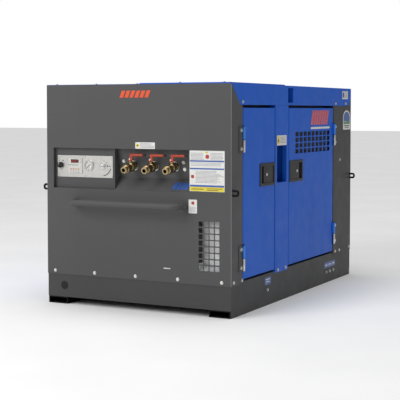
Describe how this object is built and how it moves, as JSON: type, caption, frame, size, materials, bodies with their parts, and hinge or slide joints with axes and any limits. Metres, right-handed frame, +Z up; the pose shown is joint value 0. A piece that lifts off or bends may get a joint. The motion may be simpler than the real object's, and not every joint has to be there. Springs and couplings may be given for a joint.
{
  "type": "engine driven air compressor",
  "caption": "Skid-mounted engine driven screw air compressor in a sound proof enclosure, with ball valve air outlets, control face, grab rail and hinged side doors.",
  "frame": {"origin": "bottom centre of the whole machine, on the ground under the skids", "axes": "+Z up, +X to the right side seen from the front, -Y out of the front face with the air outlets"},
  "size_m": [1.099, 1.7354, 1.11],
  "materials": {
    "grey_paint": "satin powder coat",
    "side_paint": "satin powder coat",
    "blue_paint": "satin powder coat",
    "black_paint": "semi-matt paint",
    "zinc": "zinc plated",
    "galvanised": "galvanised sheet",
    "instrument_aluminium": "brushed",
    "black_plastic": "matt",
    "gauge_steel": "polished",
    "needle_black": "matt",
    "valve_brass": "forged and tumbled",
    "red_grip": "dipped vinyl",
    "cast_iron": "painted casting",
    "head_aluminium": "cast",
    "machined_steel": "machined",
    "fan_plastic": "matt",
    "belt_rubber": "matt",
    "muffler_steel": "heat dulled",
    "radiator_black": "matt",
    "receiver_paint": "satin",
    "fuel_plastic": "translucent white",
    "battery_case": "moulded",
    "latch_grey": "dark zinc alloy",
    "hinge_grey": "painted",
    "display_film": "printed film",
    "cap_plastic": "moulded"
  },
  "bodies": {
    "enclosure": {"skids": "black_paint", "base_frame": "side_paint", "base_floor": "grey_paint", "front_panel": "grey_paint", "rear_panel": "grey_paint", "roof_front": "blue_paint", "roof_rear": "blue_paint", "roof_channel": "blue_paint", "lifting_frame": "black_paint", "centre_pillar_right": "blue_paint", "centre_pillar_left": "blue_paint", "intake_baffle": "galvanised", "control_housing": "grey_paint", "valve_pocket": "grey_paint", "instrument_plate": "instrument_aluminium", "status_display": "display_film", "gauge_case": "gauge_steel", "starter_switch": "gauge_steel", "air_valves": "valve_brass", "hose_couplings": "valve_brass", "air_manifold": "galvanised", "grab_rail": "grey_paint", "rope_hooks": "black_paint", "enclosure_bolts": "zinc", "hinge_leaves": "hinge_grey", "engine_block": "cast_iron", "cylinder_head": "head_aluminium", "fan_belt": "belt_rubber", "alternator": "head_aluminium", "radiator": "radiator_black", "muffler": "muffler_steel", "air_cleaner": "black_plastic", "airend_housing": "cast_iron", "receiver_tank": "receiver_paint", "fuel_tank": "fuel_plastic", "battery": "battery_case"},
    "front_door_right": {"front_door_right": "blue_paint", "front_latch_frame_right": "latch_grey"},
    "front_paddle_right": {"front_latch_paddle_right": "latch_grey"},
    "rear_door_right": {"rear_door_right": "blue_paint", "rear_latch_frame_right": "latch_grey"},
    "rear_paddle_right": {"rear_latch_paddle_right": "latch_grey"},
    "front_door_left": {"front_door_left": "blue_paint", "front_latch_frame_left": "latch_grey"},
    "front_paddle_left": {"front_latch_paddle_left": "latch_grey"},
    "rear_door_left": {"rear_door_left": "blue_paint", "rear_latch_frame_left": "latch_grey"},
    "rear_paddle_left": {"rear_latch_paddle_left": "latch_grey"},
    "valve_1_lever": {"valve_lever_1": "red_grip"},
    "valve_2_lever": {"valve_lever_2": "red_grip"},
    "valve_3_lever": {"valve_lever_3": "red_grip"},
    "key": {"starter_key": "gauge_steel"},
    "knob": {"selector_knob": "black_plastic"},
    "needle": {"gauge_needle": "needle_black"},
    "crank": {"crankshaft": "machined_steel", "male_rotor": "machined_steel"},
    "female": {"female_rotor": "machined_steel"},
    "fan": {"cooling_fan": "fan_plastic"},
    "alternator_rotor": {"alternator_pulley": "machined_steel"},
    "fuel_cap": {"fuel_cap": "cap_plastic"}
  },
  "joints": [
    {"name": "front_door_right_hinge", "type": "hinge", "parent": "enclosure", "child": "front_door_right", "pos_m": [0.524, -0.65375, 0.5785], "axis": [0, 0, -1], "range_deg": [0, 110]},
    {"name": "front_paddle_right_pivot", "type": "hinge", "parent": "front_door_right", "child": "front_paddle_right", "pos_m": [0.514, -0.29725, 0.657], "axis": [0, 0, 1], "range_deg": [0, 35], "stiffness_Nm_per_rad": 0.6},
    {"name": "rear_door_right_hinge", "type": "hinge", "parent": "enclosure", "child": "rear_door_right", "pos_m": [0.524, 0.56625, 0.5785], "axis": [0, 0, 1], "range_deg": [0, 110]},
    {"name": "rear_paddle_right_pivot", "type": "hinge", "parent": "rear_door_right", "child": "rear_paddle_right", "pos_m": [0.514, -0.06325, 0.657], "axis": [0, 0, -1], "range_deg": [0, 35], "stiffness_Nm_per_rad": 0.6},
    {"name": "front_door_left_hinge", "type": "hinge", "parent": "enclosure", "child": "front_door_left", "pos_m": [-0.524, -0.65375, 0.5785], "axis": [0, 0, 1], "range_deg": [0, 110]},
    {"name": "front_paddle_left_pivot", "type": "hinge", "parent": "front_door_left", "child": "front_paddle_left", "pos_m": [-0.514, -0.29725, 0.657], "axis": [0, 0, -1], "range_deg": [0, 35], "stiffness_Nm_per_rad": 0.6},
    {"name": "rear_door_left_hinge", "type": "hinge", "parent": "enclosure", "child": "rear_door_left", "pos_m": [-0.524, 0.56625, 0.5785], "axis": [0, 0, -1], "range_deg": [0, 110]},
    {"name": "rear_paddle_left_pivot", "type": "hinge", "parent": "rear_door_left", "child": "rear_paddle_left", "pos_m": [-0.514, -0.06325, 0.657], "axis": [0, 0, 1], "range_deg": [0, 35], "stiffness_Nm_per_rad": 0.6},
    {"name": "valve_1_turn", "type": "hinge", "parent": "enclosure", "child": "valve_1_lever", "pos_m": [-0.03, -0.76525, 0.69965], "axis": [0, 0.1868, -0.9824], "range_deg": [0, 90]},
    {"name": "valve_2_turn", "type": "hinge", "parent": "enclosure", "child": "valve_2_lever", "pos_m": [0.084, -0.76525, 0.69965], "axis": [0, 0.1868, -0.9824], "range_deg": [0, 90]},
    {"name": "valve_3_turn", "type": "hinge", "parent": "enclosure", "child": "valve_3_lever", "pos_m": [0.198, -0.76525, 0.69965], "axis": [0, 0.1868, -0.9824], "range_deg": [0, 90]},
    {"name": "key_turn", "type": "hinge", "parent": "enclosure", "child": "key", "pos_m": [-0.196, -0.77725, 0.699], "axis": [0, 1, 0], "range_deg": [0, 90]},
    {"name": "knob_turn", "type": "hinge", "parent": "enclosure", "child": "knob", "pos_m": [-0.444, -0.77725, 0.7], "axis": [0, 1, 0], "range_deg": [0, 60]},
    {"name": "needle_turn", "type": "hinge", "parent": "enclosure", "child": "needle", "pos_m": [-0.275, -0.77725, 0.701], "axis": [0, 1, 0], "range_deg": [0, 270]},
    {"name": "crank_turn", "type": "hinge", "parent": "enclosure", "child": "crank", "pos_m": [0, -0.77725, 0.4], "axis": [0, 1, 0], "continuous": true},
    {"name": "female_turn", "type": "hinge", "parent": "enclosure", "child": "female", "pos_m": [0.09, -0.77725, 0.4], "axis": [0, 1, 0], "continuous": true},
    {"name": "fan_turn", "type": "hinge", "parent": "enclosure", "child": "fan", "pos_m": [0, -0.77725, 0.62], "axis": [0, 1, 0], "continuous": true},
    {"name": "alternator_rotor_turn", "type": "hinge", "parent": "enclosure", "child": "alternator_rotor", "pos_m": [0.205, -0.77725, 0.54], "axis": [0, 1, 0], "continuous": true},
    {"name": "fuel_cap_turn", "type": "hinge", "parent": "enclosure", "child": "fuel_cap", "pos_m": [-0.33, -0.47725, 0.48], "axis": [0, 0, 1], "range_deg": [0, 90]}
  ],
  "couplings": [
    {"joint": "female_turn", "follows": "crank_turn", "ratio": -0.66667},
    {"joint": "fan_turn", "follows": "crank_turn", "ratio": 1.2727},
    {"joint": "alternator_rotor_turn", "follows": "crank_turn", "ratio": 2.0588}
  ]
}
